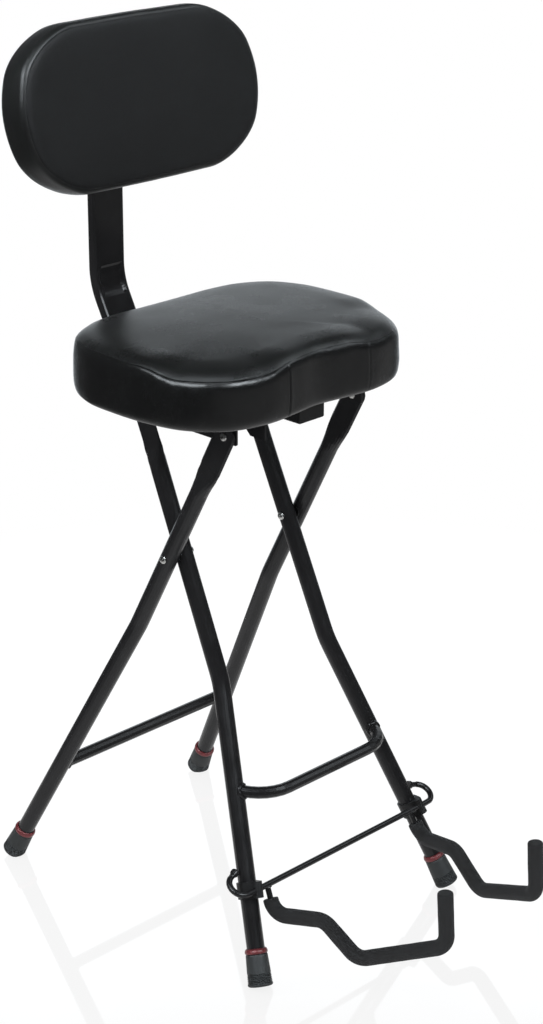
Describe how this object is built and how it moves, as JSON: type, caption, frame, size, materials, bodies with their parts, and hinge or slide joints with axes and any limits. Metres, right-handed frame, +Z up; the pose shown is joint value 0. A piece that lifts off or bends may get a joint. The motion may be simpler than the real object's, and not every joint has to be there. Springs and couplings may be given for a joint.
{
  "type": "folding guitar stool",
  "caption": "Folding scissor-leg stool with padded seat, backrest pad on a bent post, footrest bar and a swing-up guitar rest with foam-covered arms",
  "frame": {"origin": "on the floor, in the middle of the stool's overall box seen in plan", "axes": "+X across the stool, to the right of somebody who looks at its front; +Y towards its back; +Z up"},
  "size_m": [0.388, 0.7021, 1.1052],
  "materials": {
    "black_powder_coat": "semi-gloss black powder coat on steel tube and sheet",
    "zinc": "bright zinc-plated fasteners",
    "charcoal_rubber": "matte moulded rubber",
    "red_rubber": "matte red rubber",
    "black_foam": "matte closed-cell foam tube",
    "black_vinyl": "black upholstery vinyl with a soft sheen",
    "plywood": "bare plywood",
    "black_plastic": "matte black moulded plastic"
  },
  "bodies": {
    "rear_frame": {"rear_crossbar": "black_powder_coat", "rear_leg_left": "black_powder_coat", "rear_tip_left": "charcoal_rubber", "rear_ring_left": "red_rubber", "crossing_rivet_left": "zinc", "crossing_washer_left": "black_plastic", "seat_rivet_left": "zinc", "seat_washer_left": "black_plastic", "rear_leg_right": "black_powder_coat", "rear_tip_right": "charcoal_rubber", "rear_ring_right": "red_rubber", "crossing_rivet_right": "zinc", "crossing_washer_right": "black_plastic", "seat_rivet_right": "zinc", "seat_washer_right": "black_plastic"},
    "front_frame": {"footrest_bar": "black_powder_coat", "front_leg_left": "black_powder_coat", "front_tip_left": "charcoal_rubber", "front_ring_left": "red_rubber", "rest_collar_left": "black_plastic", "latch_pin_left": "black_powder_coat", "front_leg_right": "black_powder_coat", "front_tip_right": "charcoal_rubber", "front_ring_right": "red_rubber", "rest_collar_right": "black_plastic", "latch_pin_right": "black_powder_coat"},
    "guitar_rest": {"rest_rod": "black_powder_coat", "rest_arm_left": "black_powder_coat", "foam_sleeve_left": "black_foam", "rest_arm_right": "black_powder_coat", "foam_sleeve_right": "black_foam"},
    "seat": {"seat_cushion": "black_vinyl", "seat_board": "plywood", "side_rail_left": "black_powder_coat", "side_rail_right": "black_powder_coat", "seat_lug": "black_powder_coat", "lug_screw": "zinc", "centre_rail": "black_powder_coat", "centre_cap_front": "black_plastic", "centre_cap_rear": "black_plastic", "rail_screw_1": "zinc", "rail_screw_2": "zinc", "rail_screw_3": "zinc", "rail_screw_4": "zinc", "post_bolt_1": "zinc", "post_bolt_2": "zinc", "backrest_post": "black_powder_coat", "post_cap_top": "black_plastic", "post_cap_foot": "black_plastic", "backrest_bracket": "black_powder_coat", "bracket_bolt_1": "zinc", "bracket_bolt_2": "zinc", "bracket_screw_1": "zinc", "bracket_screw_2": "zinc", "bracket_screw_3": "zinc", "bracket_screw_4": "zinc", "backrest_board": "plywood", "backrest_cushion": "black_vinyl"}
  },
  "joints": [
    {"name": "leg_fold", "type": "hinge", "parent": "rear_frame", "child": "front_frame", "pos_m": [0, 0.0855, 0.4843], "axis": [1, 0, 0], "range_deg": [0, 45]},
    {"name": "seat_fold", "type": "hinge", "parent": "rear_frame", "child": "seat", "pos_m": [0, -0.00796, 0.66225], "axis": [1, 0, 0], "range_deg": [0, 112.5]},
    {"name": "guitar_rest_fold", "type": "hinge", "parent": "front_frame", "child": "guitar_rest", "pos_m": [0, -0.09945, 0.1142], "axis": [-1, 0, 0], "range_deg": [0, 78]}
  ],
  "couplings": [
    {"joint": "seat_fold", "follows": "leg_fold", "ratio": 2.5}
  ]
}
